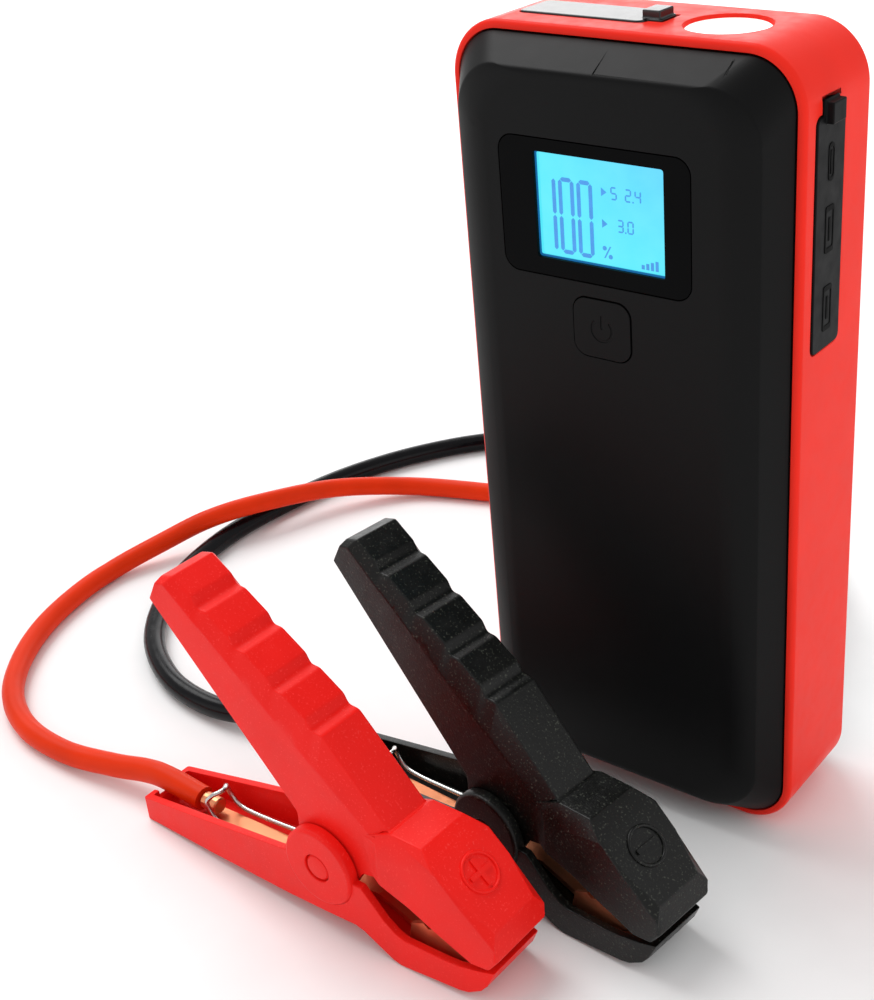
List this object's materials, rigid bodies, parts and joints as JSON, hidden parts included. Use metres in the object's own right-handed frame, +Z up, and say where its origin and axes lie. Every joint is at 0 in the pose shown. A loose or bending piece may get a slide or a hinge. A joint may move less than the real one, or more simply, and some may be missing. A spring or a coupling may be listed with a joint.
{
  "type": "jump starter pack",
  "caption": "Upright lithium booster pack with a lit display, power button, port covers, a top lamp, and plug-in red and black battery clamps on short leads.",
  "frame": {"origin": "middle of the red frame's flat base, on the surface that the pack stands on", "axes": "+Z up the pack, the display faces -Y, +X is the pack's right-hand side with the port cover"},
  "size_m": [0.2358, 0.2334, 0.1835],
  "materials": {
    "red_plastic": "satin moulded ABS, bright red",
    "black_plastic": "satin moulded ABS, black",
    "gloss_black": "high gloss black acrylic",
    "black_rubber": "matte soft rubber",
    "lcd_panel": "cyan backlit display under clear plastic",
    "white_plastic": "matte white light guide",
    "circuit_board": "green solder mask",
    "inner_black": "matte black moulding",
    "cell_foil": "satin pouch foil",
    "foam": "open cell foam",
    "steel": "bright nickel plated steel",
    "gold_contact": "polished gold plated contact",
    "lamp_lens": "clear polished lens",
    "reflector": "bright metallised reflector",
    "clamp_red": "fine grained moulded nylon, red",
    "clamp_black": "fine grained moulded nylon, black",
    "copper": "bright copper plate",
    "cable_red": "satin silicone jacket, orange red",
    "cable_black": "satin silicone jacket, black"
  },
  "bodies": {
    "pack": {"mid_frame": "red_plastic", "front_cover": "black_plastic", "back_cover": "black_plastic", "jump_socket": "black_plastic", "display_window": "gloss_black", "lcd_panel": "lcd_panel", "lcd_backlight": "white_plastic", "display_board": "circuit_board", "main_board": "circuit_board", "power_board": "circuit_board", "lamp_board": "circuit_board", "power_switch": "inner_black", "converter_coil": "inner_black", "jump_relay": "inner_black", "battery_tray": "inner_black", "dc_socket_1": "inner_black", "dc_socket_2": "inner_black", "battery_cell_1": "cell_foil", "battery_cell_2": "cell_foil", "battery_cell_3": "cell_foil", "battery_cell_4": "cell_foil", "foam_pad": "foam", "case_screw_1": "steel", "case_screw_2": "steel", "case_screw_3": "steel", "case_screw_4": "steel", "usb_socket_1": "steel", "usb_socket_2": "steel", "input_socket": "steel", "socket_pin_red": "gold_contact", "socket_pin_black": "gold_contact", "lamp_lens": "lamp_lens", "lamp_reflector": "reflector"},
    "button": {"power_button": "black_plastic"},
    "side_cover": {"side_port_cover": "black_rubber"},
    "top_cover": {"top_port_cover": "black_rubber"},
    "leads": {"jump_plug": "black_plastic", "plug_contact_red": "gold_contact", "plug_contact_black": "gold_contact", "plug_boot_red": "black_rubber", "plug_boot_black": "black_rubber", "red_cable": "cable_red", "black_cable": "cable_black", "red_lower_lever": "clamp_red", "red_lower_jaw": "copper", "red_pivot_pin": "steel", "red_spring": "steel", "red_cable_lug": "copper", "black_lower_lever": "clamp_black", "black_lower_jaw": "copper", "black_pivot_pin": "steel", "black_spring": "steel", "black_cable_lug": "copper"},
    "red_clamp_top": {"red_upper_lever": "clamp_red", "red_upper_jaw": "copper"},
    "black_clamp_top": {"black_upper_lever": "clamp_black", "black_upper_jaw": "copper"}
  },
  "joints": [
    {"name": "power_button_press", "type": "slide", "parent": "pack", "child": "button", "axis": [0, 1, 0], "range_m": [0, 0.0008], "stiffness_N_per_m": 1500},
    {"name": "side_cover_hinge", "type": "hinge", "parent": "pack", "child": "side_cover", "pos_m": [0.042, -0.0036, 0.1191], "axis": [0, 1, 0], "range_deg": [0, 110]},
    {"name": "top_cover_hinge", "type": "hinge", "parent": "pack", "child": "top_cover", "pos_m": [-0.0294, -0.0005, 0.182], "axis": [0, -1, 0], "range_deg": [0, 110]},
    {"name": "plug_pull", "type": "slide", "parent": "pack", "child": "leads", "axis": [0, 1, 0], "range_m": [0, 0.015]},
    {"name": "red_clamp_open", "type": "hinge", "parent": "leads", "child": "red_clamp_top", "pos_m": [-0.0299, -0.0856, 0.0174], "axis": [-0.0227, -0.9997, 0], "range_deg": [0, 32], "stiffness_Nm_per_rad": 0.6, "springref_deg": -45.84, "deforming": ["red_spring"]},
    {"name": "black_clamp_open", "type": "hinge", "parent": "leads", "child": "black_clamp_top", "pos_m": [-0.0049, -0.0571, 0.0174], "axis": [-0.1149, -0.9934, 0], "range_deg": [0, 32], "stiffness_Nm_per_rad": 0.6, "springref_deg": -45.84, "deforming": ["black_spring"]}
  ]
}
